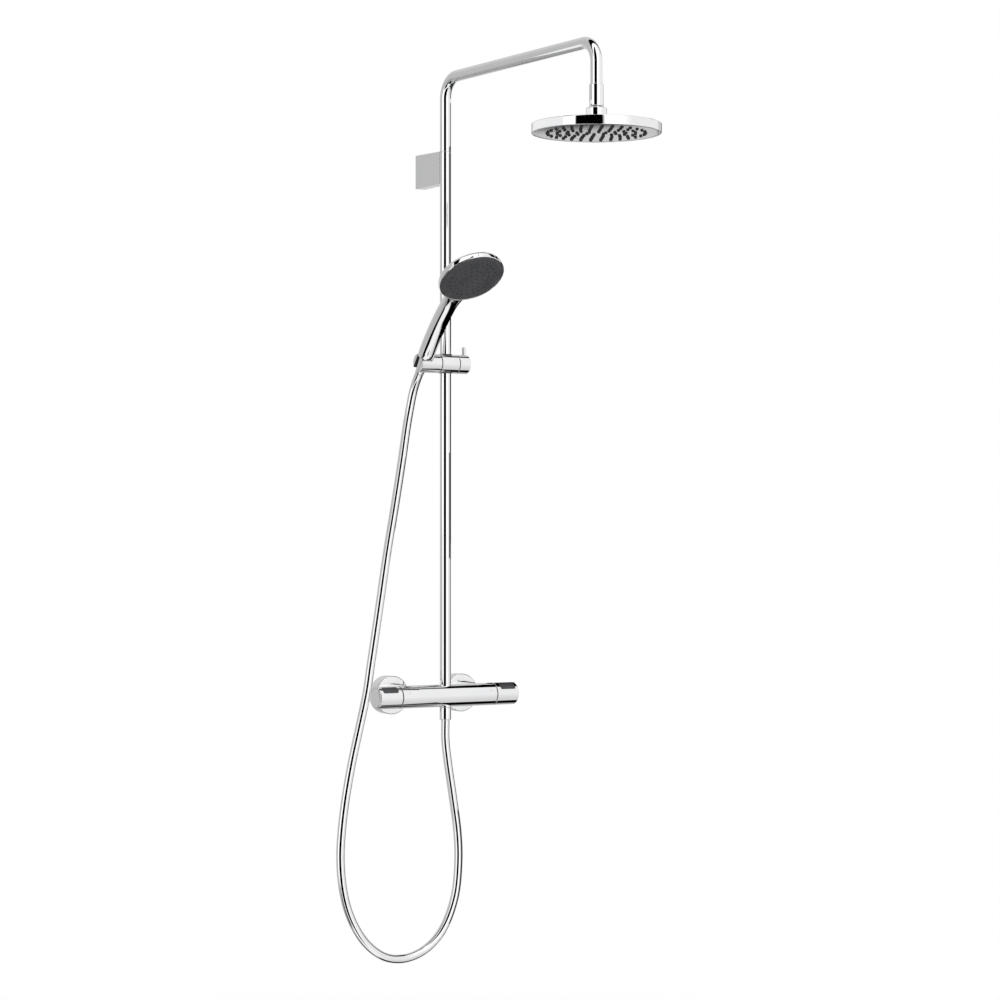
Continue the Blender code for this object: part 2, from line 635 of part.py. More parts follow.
def build_hose():
    nut = [(10.0, -21.3), (10.6, -21.9), (10.6, -43.6), (10.0, -44.2), (5.6, -44.2), (5.6, -37.0)]
    nut += [(8.0, -37.0), (8.0, -21.3)]
    turned("hose_nut", nut, MIXER, Z_AXIS, CHROME, SMALL, closed=True)
    ring("outlet_nipple", 7.5, 5.4, -34.0, -8.0, MIXER, Z_AXIS, BRASS, SMALL)
    ring("outlet_washer", 7.7, 5.0, -36.6, -34.4, MIXER, Z_AXIS, RUBBER, SMALL)

    cone = [(NUT_TOP_R, NUT_TOP), (NUT_LOW_R + 0.3, NUT_LOW + 1.0), (NUT_LOW_R - 0.4, NUT_LOW)]
    cone += [(5.4, NUT_LOW), (5.4, -5.0), (8.0, -5.0), (8.0, NUT_TOP)]
    turned("hose_cone_nut", cone, HOLDER_CENTRE, CONE_UP, CHROME, SMALL, closed=True)

    route = [Vector(point) for point in HOSE_ROUTE] + [on_cone(HOSE_END)]
    pipe("shower_hose", smooth_route(route, 2), HOSE_R, STEEL, 2)


# ---------------------------------------------------------------- the whole shower


def build():
    build_wall_bracket()
    build_riser_and_arm()
    build_rain_head()
    build_mixer_body()
    build_inlets()
    build_handle("temperature", -1)
    build_handle("flow", 1)
    build_slider()
    build_holder()
    build_handset()
    build_hose()


build()
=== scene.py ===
"""Rainfall shower column: the finished surfaces, hose, studio and camera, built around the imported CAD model.

Places come from the frame, in metres. Sizes of outlines are in millimetres, as in the part's own source.
Every turned outline runs down its outer side, as (radius, height) about its axis.
"""

import json
import math

import bmesh
import bpy
from mathutils import Matrix, Vector


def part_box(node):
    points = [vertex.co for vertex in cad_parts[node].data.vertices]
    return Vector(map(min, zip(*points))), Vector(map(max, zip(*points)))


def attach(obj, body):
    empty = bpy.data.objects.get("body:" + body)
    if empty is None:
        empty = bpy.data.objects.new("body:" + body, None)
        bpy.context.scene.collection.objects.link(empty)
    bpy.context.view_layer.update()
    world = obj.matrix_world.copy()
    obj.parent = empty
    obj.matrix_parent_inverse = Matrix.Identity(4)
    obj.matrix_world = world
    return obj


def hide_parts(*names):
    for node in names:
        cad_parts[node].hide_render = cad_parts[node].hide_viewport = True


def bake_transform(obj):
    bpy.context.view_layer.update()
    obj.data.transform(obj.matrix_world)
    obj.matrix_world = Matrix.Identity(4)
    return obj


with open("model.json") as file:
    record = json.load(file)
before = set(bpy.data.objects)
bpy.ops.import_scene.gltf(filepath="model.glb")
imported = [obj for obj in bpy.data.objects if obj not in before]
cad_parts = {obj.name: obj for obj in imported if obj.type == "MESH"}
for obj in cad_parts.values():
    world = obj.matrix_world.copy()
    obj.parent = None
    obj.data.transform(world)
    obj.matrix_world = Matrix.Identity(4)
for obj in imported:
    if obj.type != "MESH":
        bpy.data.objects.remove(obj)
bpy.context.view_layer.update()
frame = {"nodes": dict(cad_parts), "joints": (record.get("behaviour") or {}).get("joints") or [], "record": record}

MM = 0.001
X_AXIS = Vector((1, 0, 0))
Y_AXIS = Vector((0, 1, 0))
Z_AXIS = Vector((0, 0, 1))
JOINTS = {joint["name"]: joint for joint in frame["joints"]}


def middle(node):
    """The centre of a CAD node's box."""
    low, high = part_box(node)
    return (low + high) / 2


# ---------------------------------------------------------------- places, read from the frame

COLUMN = Vector((0, middle("riser_tube").y, 0))
TUBE_R = (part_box("riser_tube")[1].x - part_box("riser_tube")[0].x) / 2 / MM
HEAD_PIVOT = Vector(JOINTS["head_tilt_x"]["pos_m"])
HEAD_FLOOR = Vector((HEAD_PIVOT.x, HEAD_PIVOT.y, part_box("rain_head_cover")[0].z))
SLIDER = Vector(JOINTS["clamp_turn"]["pos_m"])
MIXER = Vector(JOINTS["temperature_turn"]["pos_m"])
INLETS = {side: Vector((middle(f"wall_union_{side}").x, MIXER.y, MIXER.z)) for side in ("left", "right")}
CONE_UP = Vector(JOINTS["handset_lift"]["axis"]).normalized()
CONE_FRONT = X_AXIS.cross(CONE_UP)
HOLDER = Vector((middle("hose_cone_nut").x, SLIDER.y, SLIDER.z))
FACE_OUT = Vector((0, -0.583, -0.812)).normalized()
FACE = HOLDER + Vector((0, -165.4, 140.8)) * MM
BUTTON_OUT = -Vector(JOINTS["temperature_press"]["axis"]).normalized()


def on_cone(along):
    """The point this many millimetres up the holder's bore."""
    return HOLDER + CONE_UP * along * MM


# ---------------------------------------------------------------- mesh tools


def made(name, mesh):
    obj = bpy.data.objects.new(name, mesh)
    bpy.context.scene.collection.objects.link(obj)
    return obj


def shade(obj, angle=32):
    obj.data.shade_smooth()
    obj.data.set_sharp_from_angle(angle=math.radians(angle))


def eased(outline, soft, closed, steps=4):
    """The outline with each real corner rounded by about soft millimetres."""
    if not soft:
        return outline
    count = len(outline)
    result = []
    for i, point in enumerate(outline):
        here = Vector(point)
        at_end = not closed and i in (0, count - 1)
        before = Vector(outline[i - 1])
        after = Vector(outline[(i + 1) % count])
        inward, outward = before - here, after - here
        turning = math.pi - inward.angle(outward, math.pi)
        if at_end or turning < math.radians(14):
            result.append(point)
            continue
        cut_back = min(soft, 0.42 * inward.length, 0.42 * outward.length)
        start = here + inward.normalized() * cut_back
        end = here + outward.normalized() * cut_back
        for step in range(steps + 1):
            t = step / steps
            bend = start * (1 - t) ** 2 + here * 2 * t * (1 - t) + end * t**2
            result.append((bend.x, bend.y))
    return result


def turned(name, outline, origin, axis, sides=96, closed=False, soft=0.35):
    """A solid turned about an axis through origin."""
    outline = eased(outline, soft, closed)
    turn = Z_AXIS.rotation_difference(axis).to_matrix()
    shape = bmesh.new()
    rows = []
    for radius, height in outline:
        if radius < 1e-4:
            rows.append([shape.verts.new(origin + turn @ Vector((0, 0, height * MM)))])
            continue
        row = []
        for i in range(sides):
            angle = 2 * math.pi * i / sides
            spot = Vector((radius * math.cos(angle), radius * math.sin(angle), height)) * MM
            row.append(shape.verts.new(origin + turn @ spot))
        rows.append(row)
    pairs = list(zip(rows, rows[1:])) + ([(rows[-1], rows[0])] if closed else [])
    for upper, lower in pairs:
        for i in range(sides):
            j = (i + 1) % sides
            near = [upper[i % len(upper)], lower[i % len(lower)]]
            far = [lower[j % len(lower)], upper[j % len(upper)]]
            unique = list(dict.fromkeys(near + far))
            if len(unique) > 2:
                shape.faces.new(unique)
    bmesh.ops.recalc_face_normals(shape, faces=shape.faces)
    mesh = bpy.data.meshes.new(name)
    shape.to_mesh(mesh)
    shape.free()
    obj = made(name, mesh)
    shade(obj)
    return obj


def rod(name, radius, low, high, origin, axis, sides=96, soft=0.35):
    outline = [(0, high), (radius, high), (radius, low), (0, low)]
    return turned(name, outline, origin, axis, sides, soft=soft)


def sleeve(name, outer, inner, low, high, origin, axis, sides=96, soft=0.35):
    outline = [(outer, high), (outer, low), (inner, low), (inner, high)]
    return turned(name, outline, origin, axis, sides, closed=True, soft=soft)


def sweep_rows(shape, path, radii, sides):
    """Rings of vertices along path. A radius may be a pair: across X, and square to it."""
    rows = []
    side = X_AXIS.copy()
    for i, place in enumerate(path):
        along = (path[min(i + 1, len(path) - 1)] - path[max(i - 1, 0)]).normalized()
        side = (side - along * side.dot(along)).normalized()
        other = along.cross(side)
        radius = radii[i] if isinstance(radii, list) else radii
        wide, deep = radius if isinstance(radius, tuple) else (radius, radius)
        row = []
        for j in range(sides):
            angle = 2 * math.pi * j / sides
            spot = side * math.cos(angle) * wide + other * math.sin(angle) * deep
            row.append(shape.verts.new(place + spot * MM))
        rows.append(row)
    return rows


def swept(name, path, radii, sides=32, bore=None):
    """A tube along path, in metres, with radii in millimetres: solid, or open where bore is given."""
    shape = bmesh.new()
    rows = sweep_rows(shape, path, radii, sides)
    if bore:
        rows += list(reversed(sweep_rows(shape, path, bore, sides)))
        rows.append(rows[0])
    else:
        shape.faces.new(rows[0])
        shape.faces.new(rows[-1])
    for first, second in zip(rows, rows[1:]):
        for i in range(sides):
            j = (i + 1) % sides
            shape.faces.new([first[i], first[j], second[j], second[i]])
    bmesh.ops.recalc_face_normals(shape, faces=shape.faces)
    mesh = bpy.data.meshes.new(name)
    shape.to_mesh(mesh)
    shape.free()
    obj = made(name, mesh)
    shade(obj, 50)
    return obj


def slab(name, size, centre, turn=None, soft=0.0):
    """A box with its edges rounded by soft, all in millimetres but the centre."""
    shape = bmesh.new()
    bmesh.ops.create_cube(shape, size=1.0)
    bmesh.ops.scale(shape, vec=Vector(size) * MM, verts=shape.verts)
    if soft:
        bmesh.ops.bevel(shape, geom=shape.edges[:], offset=soft * MM, segments=4, profile=0.5, affect="EDGES")
    mesh = bpy.data.meshes.new(name)
    shape.to_mesh(mesh)
    shape.free()
    mesh.transform(Matrix.Translation(centre) @ (turn or Matrix.Identity(4)))
    obj = made(name, mesh)
    shade(obj)
    return obj


def baked(obj):
    """Applies obj's modifiers to its mesh."""
    bpy.context.view_layer.update()
    graph = bpy.context.evaluated_depsgraph_get()
    mesh = bpy.data.meshes.new_from_object(obj.evaluated_get(graph))
    mesh.name = obj.name
    obj.modifiers.clear()
    obj.data = mesh
    return obj


def merged(obj, *others):
    """Adds the other meshes to obj's own."""
    shape = bmesh.new()
    shape.from_mesh(obj.data)
    for other in others:
        shape.from_mesh(other.data)
        bpy.data.objects.remove(other)
    shape.to_mesh(obj.data)
    shape.free()
    shade(obj)
    return obj


def joined(obj, tools, operation):
    for tool in tools:
        boolean = obj.modifiers.new("boolean", "BOOLEAN")
        boolean.operation = operation
        boolean.solver = "EXACT"
        boolean.object = tool
    baked(obj)
    for tool in tools:
        bpy.data.objects.remove(tool)
    shade(obj)
    weighted = obj.modifiers.new("normals", "WEIGHTED_NORMAL")
    weighted.keep_sharp = True
    return baked(obj)


def carved(obj, *tools):
    return joined(obj, tools, "DIFFERENCE")


def arc(centre, start, end, radius, steps):
    """Points a quarter turn round centre, from direction start to direction end, in metres."""
    points = []
    for i in range(steps + 1):
        angle = math.pi / 2 * i / steps
        points.append(centre + (start * math.cos(angle) + end * math.sin(angle)) * radius * MM)
    return points


def smooth_route(points, per_span):
    """A Catmull-Rom curve through the points."""
    ends = [2 * points[0] - points[1], *points, 2 * points[-1] - points[-2]]
    route = []
    for i in range(len(points) - 1):
        a, b, c, d = ends[i : i + 4]
        for step in range(per_span):
            t = step / per_span
            bend = (2 * a - 5 * b + 4 * c - d) * t**2 + (3 * b - a - 3 * c + d) * t**3
            route.append(0.5 * (2 * b + (c - a) * t + bend))
    return [*route, points[-1]]


# ---------------------------------------------------------------- materials


class Nodes:
    """A material's or world's node tree, with short ways to add what it needs."""

    def __init__(self, tree):
        self.tree = tree

    def add(self, kind, **values):
        node = self.tree.nodes.new(kind)
        for name, value in values.items():
            setattr(node, name, value)
        return node

    def link(self, output, socket):
        self.tree.links.new(output, socket)

    def math(self, operation, a, b=0.0, clamp=False):
        node = self.add("ShaderNodeMath", operation=operation, use_clamp=clamp)
        for socket, value in zip(node.inputs, (a, b)):
            if isinstance(value, (int, float)):
                socket.default_value = value
            else:
                self.link(value, socket)
        return node.outputs[0]

    def ramp(self, value, low, high, from_value, to_value, smooth=False):
        """value from low..high turned into from_value..to_value."""
        node = self.add("ShaderNodeMapRange")
        node.interpolation_type = "SMOOTHSTEP" if smooth else "LINEAR"
        settings = {"From Min": low, "From Max": high, "To Min": from_value, "To Max": to_value}
        for name, setting in settings.items():
            node.inputs[name].default_value = setting
        self.link(value, node.inputs["Value"])
        return node.outputs["Result"]

    def noise(self, scale, detail=2.0, stretch=None):
        """Noise over the piece's own coordinates. scale is in features per metre."""
        place = self.add("ShaderNodeTexCoord").outputs["Object"]
        if stretch:
            mapping = self.add("ShaderNodeMapping")
            mapping.inputs["Scale"].default_value = stretch
            self.link(place, mapping.inputs["Vector"])
            place = mapping.outputs["Vector"]
        noise = self.add("ShaderNodeTexNoise")
        noise.inputs["Scale"].default_value = scale
        noise.inputs["Detail"].default_value = detail
        self.link(place, noise.inputs["Vector"])
        return noise.outputs["Fac"]


def material(
    name, colour, colour_far, roughness, metallic, blotch=60, grain=900, bump=0.0, stretch=None, coat=0.0
):
    """A surface whose colour drifts to colour_far in blotches, with grain in its roughness and height."""
    made_material = bpy.data.materials.new(name)
    made_material.use_nodes = True
    nodes = Nodes(made_material.node_tree)
    shader = made_material.node_tree.nodes["Principled BSDF"]
    shader.inputs["Metallic"].default_value = metallic
    shader.inputs["Coat Weight"].default_value = coat
    shader.inputs["Coat Roughness"].default_value = 0.08

    drift = nodes.noise(blotch, 3.0)
    mix = nodes.add("ShaderNodeMix", data_type="RGBA")
    mix.inputs["A"].default_value = (*colour, 1)
    mix.inputs["B"].default_value = (*colour_far, 1)
    nodes.link(nodes.ramp(drift, 0.35, 0.65, 0.0, 1.0), mix.inputs["Factor"])
    nodes.link(mix.outputs["Result"], shader.inputs["Base Color"])

    fine = nodes.noise(grain, 4.0, stretch)
    nodes.link(nodes.ramp(fine, 0.3, 0.7, roughness[0], roughness[1]), shader.inputs["Roughness"])
    if bump:
        height = nodes.add("ShaderNodeBump")
        height.inputs["Strength"].default_value = bump
        height.inputs["Distance"].default_value = 0.0002
        nodes.link(fine, height.inputs["Height"])
        nodes.link(height.outputs["Normal"], shader.inputs["Normal"])
    return made_material


LOOKS = {
    "chrome": material("chrome", (0.93, 0.93, 0.935), (0.905, 0.91, 0.92), (0.014, 0.022), 1.0, 25, 400),
    "chromed_plastic": material(
        "chromed_plastic", (0.92, 0.92, 0.925), (0.895, 0.90, 0.91), (0.016, 0.026), 1.0, 30, 400
    ),
    "hose_silver": material(
        "hose_silver", (0.90, 0.90, 0.91), (0.85, 0.855, 0.865), (0.03, 0.05), 1.0, 90, 500
    ),
    "brass": material("brass", (0.78, 0.62, 0.34), (0.70, 0.54, 0.28), (0.22, 0.38), 1.0, 80, 1200, 0.1),
    "dark_plastic": material(
        "dark_plastic", (0.052, 0.053, 0.056), (0.066, 0.067, 0.070), (0.34, 0.46), 0.0, 40, 3000, 0.25
    ),
    "button_plastic": material(
        "button_plastic", (0.040, 0.041, 0.043), (0.052, 0.053, 0.056), (0.30, 0.42), 0.0, 60, 3500, 0.2
    ),
    "seal_rubber": material(
        "seal_rubber", (0.012, 0.012, 0.013), (0.022, 0.022, 0.023), (0.50, 0.70), 0.0, 200, 2500, 0.2
    ),
    "steel": material(
        "steel", (0.62, 0.62, 0.635), (0.55, 0.55, 0.565), (0.18, 0.30), 1.0, 50, 900, 0.06, (1, 14, 1)
    ),
    "face_steel": material(
        "face_steel", (0.90, 0.90, 0.905), (0.86, 0.865, 0.87), (0.10, 0.18), 1.0, 30, 700, 0.03, (1, 16, 1)
    ),
    "white_plastic": material(
        "white_plastic", (0.72, 0.72, 0.70), (0.66, 0.66, 0.64), (0.36, 0.48), 0.0, 60, 1800, 0.1
    ),
}


def finish_piece(obj, look, body, *nodes):
    """Gives a piece its material and slot, lets it ride on its body, and stands it in for CAD nodes."""
    obj.data.materials.clear()
    obj.data.materials.append(LOOKS[look])
    if body:
        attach(obj, body)
    if nodes:
        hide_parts(*nodes)
    return obj


def dress_cad_nodes():
    """The CAD nodes that stay get the procedural material of their slot."""
    slots = {entry["node"]: entry["material_slot"] for entry in frame["record"]["subparts"]}
    for name, obj in frame["nodes"].items():
        obj.data.materials.clear()
        obj.data.materials.append(LOOKS[slots[name]])
        obj.data.shade_smooth()
        obj.data.set_sharp_from_angle(angle=math.radians(30))


# ---------------------------------------------------------------- camera and hose, made first


def make_camera():
    camera = bpy.data.cameras.new("camera")
    camera.lens = 100.0
    camera.sensor_width = 36.0
    obj = made("camera", camera)
    obj.location = (-2.687, -4.394, -0.666)
    obj.rotation_euler = (math.radians(90.654), 0.0, math.radians(-33.09))
    bpy.context.scene.camera = obj


HOSE_DIAMETER = 0.0155
HOSE_SHORT = 0.0945       # length of each of the two upper pieces
HOSE_END = -21.3          # along the bore: where the hose leaves its cone nut
HOSE_STEPS = 8            # path points for each point below
HOSE_ROUTE = [
    (0, -88, -1009.5),
    (0, -88, -1045),
    (5, -88, -1085),
    (16, -88, -1150),
    (26, -88, -1215),
    (28, -88, -1270),
    (21, -88, -1330),
    (0, -88, -1382),
    (-28, -88, -1414),
    (-62, -88, -1432),
    (-99, -88, -1437),
    (-136, -88, -1427),
    (-172, -88, -1398),
    (-199, -88, -1355),
    (-214, -88, -1308),
    (-220, -88, -1255),
    (-218, -88, -1205),
    (-210, -88, -1145),
    (-197, -88, -1080),
    (-181, -87, -1018),
    (-165, -85, -958),
    (-155, -82, -910),
    (-142, -79, -845),
    (-128, -75, -776),
    (-113, -70, -704),
    (-94, -63, -626),
    (-75, -57, -541),
    (-62, -52, -480),
    (-54, -50, -445),
    (-49.5, -54, -414),
    (-48.3, -62.5, -394.5),
]


def path_length(path):
    return sum((b - a).length for a, b in zip(path, path[1:]))


def split_at(path, distance):
    """The path in two, cut at this distance from its start."""
    gone = 0.0
    for i in range(len(path) - 1):
        step = (path[i + 1] - path[i]).length
        if gone + step >= distance:
            cut = path[i].lerp(path[i + 1], (distance - gone) / step)
            return [*path[: i + 1], cut], [cut, *path[i + 1 :]]
        gone += step
    return path, []


def hose_piece(name, path):
    piece = swept(name, path, HOSE_DIAMETER / 2 / MM, 40)
    finish_piece(piece, "hose_silver", None, "shower_hose")
    return piece


def make_hose():
    """One hose in three lengths, because a mesh can bend across one joint only."""
    route = smooth_route([Vector(point) * MM for point in HOSE_ROUTE] + [on_cone(HOSE_END)], HOSE_STEPS)
    whole = path_length(route)
    lower, rest = split_at(route, whole - 2 * HOSE_SHORT)
    middle_part, upper = split_at(rest, HOSE_SHORT)
    hang = hose_piece("hose_lower", lower)
    slack = hose_piece("hose_middle", middle_part)
    top = hose_piece("hose_upper", upper)
    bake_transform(hang)
    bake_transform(slack)
    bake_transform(top)


# ---------------------------------------------------------------- wall bracket, riser and arm

BRACKET_SIZE = (21.0, 84.0, 62.0)
BRACKET_TAPER = 0.95
RISER_SOCKET = 17.2        # floor of the riser's socket, above the mixer's axis
ARM_Z = 163.0
ARM_END_Z = 66.0
BEND_R = 38.0
JOINT_Z = 28.0
TUBE_BORE_R = 9.05
BALL_R = 12.4
PIVOT_UP = 30.0            # the ball's centre above the head's underside


def make_bracket():
    shape = bmesh.new()
    bmesh.ops.create_cube(shape, size=1.0)
    bmesh.ops.scale(shape, vec=Vector(BRACKET_SIZE) * MM, verts=shape.verts)
    for vertex in shape.verts:
        if vertex.co.y < 0:
            vertex.co.z *= BRACKET_TAPER
    front = [edge for edge in shape.edges if min(v.co.y for v in edge.verts) < 0]
    bmesh.ops.bevel(shape, geom=front, offset=0.9 * MM, segments=4, profile=0.5, affect="EDGES")
    mesh = bpy.data.meshes.new("bracket_cover")
    shape.to_mesh(mesh)
    shape.free()
    depth = BRACKET_SIZE[1]
    mesh.transform(Matrix.Translation(Vector((0, -depth / 2, 0)) * MM))
    cover = made("bracket_cover", mesh)
    inside = slab("inside", (17.6, depth, 57.0), Vector((0, -depth / 2 + 13, 0)) * MM)
    groove = rod("groove", TUBE_R + 0.3, -60, 60, COLUMN, Z_AXIS, soft=0)
    grub = rod("grub", 2.4, -40, -20, Vector((0, -60, 0)) * MM, Z_AXIS, 48, soft=0)
    carved(cover, inside, groove, grub)
    finish_piece(cover, "chrome", "root", "wall_bracket_cover")


def make_riser_and_arm():
    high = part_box("riser_tube")[1].z / MM
    low = MIXER.z / MM + RISER_SOCKET + 0.3
    riser = sleeve("riser", TUBE_R, TUBE_BORE_R, low, high, COLUMN, Z_AXIS, 128, soft=0.3)
    finish_piece(riser, "chrome", "root", "riser_tube")

    first = COLUMN + Vector((0, -BEND_R, ARM_Z - BEND_R)) * MM
    second = Vector((0, HEAD_PIVOT.y + BEND_R * MM, (ARM_Z - BEND_R) * MM))
    bends = arc(first, Y_AXIS, Z_AXIS, BEND_R, 32) + arc(second, Z_AXIS, -Y_AXIS, BEND_R, 32)
    start = COLUMN + Z_AXIS * (JOINT_Z + 0.2) * MM
    end = Vector((0, HEAD_PIVOT.y, ARM_END_Z * MM))
    arm = swept("arm", [start, *bends, end], TUBE_R, 128, bore=TUBE_BORE_R)
    finish_piece(arm, "chrome", "root", "arm_tube")


# ---------------------------------------------------------------- rain head

NOZZLE_RINGS = 5
NOZZLE_PHASE = -0.15
NOZZLE_PITCH = 16.6
HEAD_R = 110.0
HEAD_RIM = 16.0
GRUB_Z = 47.6              # the collar's small screw, above the head's underside
GRUB_OUT = Vector((-0.986, -0.167, 0)).normalized()


def sphere_arc(radius, first_height, last_height, steps, centre):
    """(radius, height) points on a sphere, between two heights above its centre."""
    points = []
    for i in range(steps + 1):
        height = first_height + (last_height - first_height) * i / steps
        points.append((math.sqrt(radius**2 - height**2), centre + height))
    return points


def nozzle_field(name, centre, out, across, rings, pitch, outline, phase, sides=20):
    """Rings of small turned nozzles, six more in each ring than in the one before."""
    up = out.cross(across)
    nozzles = []
    for ring in range(1, rings + 1):
        for i in range(6 * ring):
            angle = 2 * math.pi * i / (6 * ring) + phase / ring
            place = centre + (across * math.cos(angle) + up * math.sin(angle)) * ring * pitch * MM
            nozzles.append(turned(name, outline, place, out, sides, soft=0.2))
    field = merged(*nozzles)
    field.name = name
    return field


def make_rain_head():
    floor = HEAD_FLOOR
    collar_low = PIVOT_UP + 16.0
    collar = [(11.9, 83.0), (12.35, 82.4), (12.35, 46.9)]
    collar += [(11.6, collar_low), (10.7, collar_low), (10.7, 83.0)]
    sleeve_piece = turned("arm_collar", collar, floor, Z_AXIS, 128, closed=True)
    carved(sleeve_piece, rod("hole", 1.3, 8, 16, floor + Z_AXIS * GRUB_Z * MM, GRUB_OUT, 32, soft=0))
    finish_piece(sleeve_piece, "chrome", "root", "arm_end_collar")
    grub = [(0, 11.4), (0.6, 11.4), (0.6, 11.9), (1.15, 11.9), (1.15, 10.8), (0, 10.8)]
    screw = turned("collar_grub_screw", grub, floor + Z_AXIS * GRUB_Z * MM, GRUB_OUT, 32, soft=0.1)
    finish_piece(screw, "dark_plastic", "root")
    neck_height = math.sqrt(BALL_R**2 - 6.4**2)
    ball = [(10.3, 60.6), (10.3, 46.6), (7.0, collar_low), (6.4, 43.6)]
    ball += sphere_arc(BALL_R, neck_height, -10.6, 24, PIVOT_UP)
    ball += [(4.2, PIVOT_UP - 10.6), (4.2, 60.6)]
    finish_piece(turned("ball", ball, floor, Z_AXIS, closed=True), "chrome", "root", "ball_stud")

    nut_low, nut_high, lip_r = 19.6, 43.2, 9.6
    lip_height = math.sqrt(12.7**2 - lip_r**2)
    nut = [(16.6, nut_high), (17.75, nut_high - 1.1), (17.75, nut_low), (16.1, nut_low), (16.1, 32.6)]
    nut += sphere_arc(12.7, 2.6, lip_height, 8, PIVOT_UP) + [(lip_r, nut_high)]
    socket_nut = turned("socket_nut", nut, floor, Z_AXIS, 128, closed=True)
    finish_piece(socket_nut, "chrome", "rain_head", "ball_socket_nut")

    wall, top = 1.6, HEAD_RIM
    cover = [(15.8, 32.2), (15.8, 19.2), (30.0, 19.0), (50.0, 18.6)]
    cover += [(70.0, 18.0), (86.0, 17.4), (100.0, 16.6)]
    cover += [(108.8, top), (109.6, top - 0.3), (HEAD_R, top - 1.2), (HEAD_R, 0.6), (HEAD_R - 0.5, 0)]
    cover += [(HEAD_R - wall, 0), (HEAD_R - wall, top - 2.1), (100.0, 15.1), (70.0, 16.5), (30.0, 17.2)]
    cover += [(7.5, 17.2), (7.5, PIVOT_UP - 11.8)]
    cover += sphere_arc(14.0, -11.7, -0.2, 8, PIVOT_UP) + [(14.0, 32.2)]
    dish = turned("rain_head_dish", cover, floor, Z_AXIS, 256, closed=True, soft=0.5)
    finish_piece(dish, "chrome", "rain_head", "rain_head_cover")

    face_r = HEAD_R - wall - 0.3
    face = [(0, 2.3), (face_r, 2.3), (face_r, 0.3), (face_r - 1.2, 0.3), (face_r - 1.6, 0.55)]
    face += [(face_r - 2.4, 0.55), (face_r - 2.8, 0.3), (0, 0.3)]
    plate = turned("rain_head_plate", face, floor, Z_AXIS, 256, soft=0.15)
    finish_piece(plate, "face_steel", "rain_head", "rain_head_face")

    nozzle = [(0, 1.4), (0.6, 1.4), (0.6, 2.4), (2.2, 2.4), (2.65, 1.8), (2.95, -0.2), (0, -0.2)]
    low_face = floor + Z_AXIS * 0.3 * MM
    field = nozzle_field(
        "rain_head_nozzles", low_face, -Z_AXIS, X_AXIS, NOZZLE_RINGS, NOZZLE_PITCH, nozzle, NOZZLE_PHASE
    )
    finish_piece(field, "seal_rubber", "rain_head", "rain_head_nozzle_mat")


# ---------------------------------------------------------------- mixer

MIXER_R = 20.5
BODY_HALF = 100.2
MIXER_HALF = 148.0
ROSE_R = 35.0
ROSE_FRONT = 62.0
NUT_BACK = 61.5
WALL_BACK = 88.0
BUTTON_X = 125.5
MARK_X = 87.0
MARK_TILT = math.radians(22)


def make_mixer_body():
    out, bore, through = MIXER_R, 16.0, 7.0
    outline = [(out, BODY_HALF), (out, -BODY_HALF), (bore, -BODY_HALF), (bore, -40), (through, -40)]
    outline += [(through, 40), (bore, 40), (bore, BODY_HALF)]
    body = turned("mixer_bar", outline, MIXER, X_AXIS, 128, closed=True, soft=0.4)
    bores = [rod("bore", 9.1, 2, 30, MIXER, Z_AXIS, soft=0), rod("bore", 7.8, -30, 3, MIXER, Z_AXIS, soft=0)]
    bores.append(rod("socket", TUBE_R + 0.1, RISER_SOCKET, 30, MIXER, Z_AXIS, 128, soft=0))
    bores += [rod("bore", 9.0, 8, 38, inlet, Y_AXIS, soft=0) for inlet in INLETS.values()]
    carved(body, *bores)
    legs = [sleeve("leg", 12.6, 9.0, 17.5, 33.0, inlet, Y_AXIS) for inlet in INLETS.values()]
    merged(body, *legs, sleeve("boss", 10.9, 7.8, -21.0, -17.8, MIXER, Z_AXIS))
    finish_piece(body, "chrome", "root", "mixer_body")
    for side, sign in (("left", -1), ("right", 1)):
        out = Vector((0, -math.cos(MARK_TILT), math.sin(MARK_TILT)))
        turn = X_AXIS.cross(out)
        place = MIXER + (X_AXIS * sign * MARK_X + out * (MIXER_R - 0.02)) * MM
        frame_of_mark = Matrix((X_AXIS, turn, out)).transposed().to_4x4()
        mark = slab(f"index_mark_{side}", (0.9, 4.0, 0.3), place, frame_of_mark, soft=0.05)
        finish_piece(mark, "steel", "root")


def make_inlet(side):
    inlet = INLETS[side]
    nut = [(18.9, NUT_BACK), (19.5, NUT_BACK - 0.6), (19.5, 21.6), (18.9, 21.0), (13.2, 21.0)]
    nut += [(13.2, 39.9), (10.6, 39.9), (10.6, NUT_BACK)]
    union = turned(f"inlet_nut_{side}", nut, inlet, Y_AXIS, 128, closed=True)
    finish_piece(union, "chrome", "root", f"union_nut_{side}")
    back = WALL_BACK - 0.3
    rose = [(ROSE_R, back), (ROSE_R, ROSE_FRONT + 1.2), (ROSE_R - 1.2, ROSE_FRONT), (10.6, ROSE_FRONT)]
    rose += [(10.6, ROSE_FRONT + 1.4), (ROSE_R - 1.6, ROSE_FRONT + 1.6), (ROSE_R - 1.6, back)]
    plate = turned(f"inlet_rose_{side}", rose, inlet, Y_AXIS, 128, closed=True, soft=0.6)
    finish_piece(plate, "chrome", "root", f"wall_rose_{side}")


def rounded_outline(half, wide, corner, steps=8):
    """A rectangle with round corners, as (x, y) in millimetres."""
    outline = []
    for quarter, (sx, sy) in enumerate(((1, 1), (-1, 1), (-1, -1), (1, -1))):
        for step in range(steps + 1):
            angle = math.pi / 2 * (quarter + step / steps)
            x = sx * (half - corner) + corner * math.cos(angle)
            outline.append((x, sy * (wide - corner) + corner * math.sin(angle)))
    return outline


